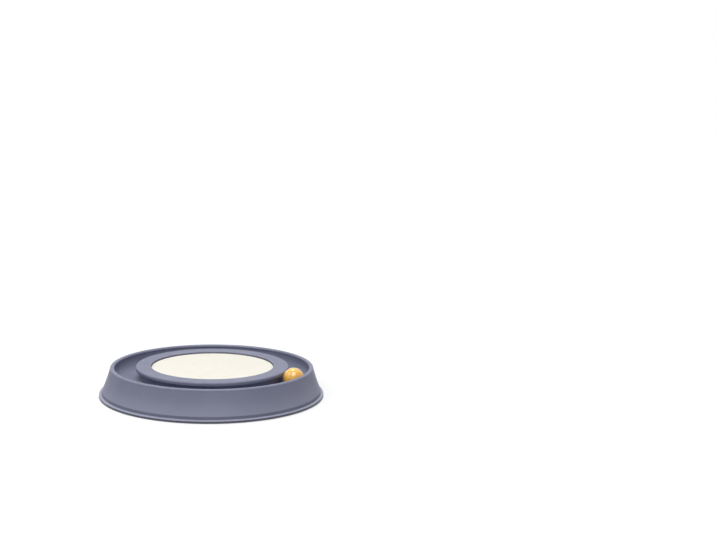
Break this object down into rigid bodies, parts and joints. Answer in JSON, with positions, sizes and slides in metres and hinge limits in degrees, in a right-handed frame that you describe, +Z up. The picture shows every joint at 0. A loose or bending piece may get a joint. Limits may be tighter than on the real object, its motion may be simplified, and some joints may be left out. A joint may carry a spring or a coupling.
{
  "type": "cat ball track toy",
  "caption": "Round cat toy: a flared tray with a ring track, a captive rolling ball and a lift-out scratch pad in the raised centre platform.",
  "frame": {"origin": "on the floor, under the middle of the tray", "axes": "+Z up along the tray's axis; +X to the right of the picture and -Y towards its camera"},
  "size_m": [0.4, 0.4, 0.0614],
  "materials": {
    "tray_plastic": "satin moulded polypropylene, grey-blue",
    "pad_felt": "cream felt",
    "pad_board": "pressed fibreboard",
    "ball_plastic": "glossy amber",
    "bead_steel": "bright",
    "screw_steel": "zinc plated",
    "foot_rubber": "matte"
  },
  "bodies": {
    "tray": {"base_tray": "tray_plastic", "centre_platform": "tray_plastic", "platform_screws": "screw_steel", "foot_pad_1": "foot_rubber", "foot_pad_2": "foot_rubber", "foot_pad_3": "foot_rubber", "foot_pad_4": "foot_rubber", "foot_pad_5": "foot_rubber", "foot_pad_6": "foot_rubber"},
    "pad": {"scratch_pad": "pad_felt", "pad_board": "pad_board"},
    "rattle": {"rattle_bead": "bead_steel"},
    "ball": {"ball_outer_half": "ball_plastic", "ball_inner_half": "ball_plastic"}
  },
  "joints": [
    {"name": "ball_orbit", "type": "hinge", "parent": "tray", "child": "rattle", "pos_m": [0, 0, 0.0424], "axis": [0, 0, 1], "continuous": true},
    {"name": "ball_roll", "type": "hinge", "parent": "rattle", "child": "ball", "pos_m": [0.14142, -0.06296, 0.0424], "axis": [0.9135, -0.4067, 0], "continuous": true},
    {"name": "pad_lift", "type": "slide", "parent": "tray", "child": "pad", "axis": [0, 0, 1], "range_m": [0, 0.03]}
  ],
  "couplings": [
    {"joint": "ball_roll", "follows": "ball_orbit", "ratio": -8.1474}
  ]
}
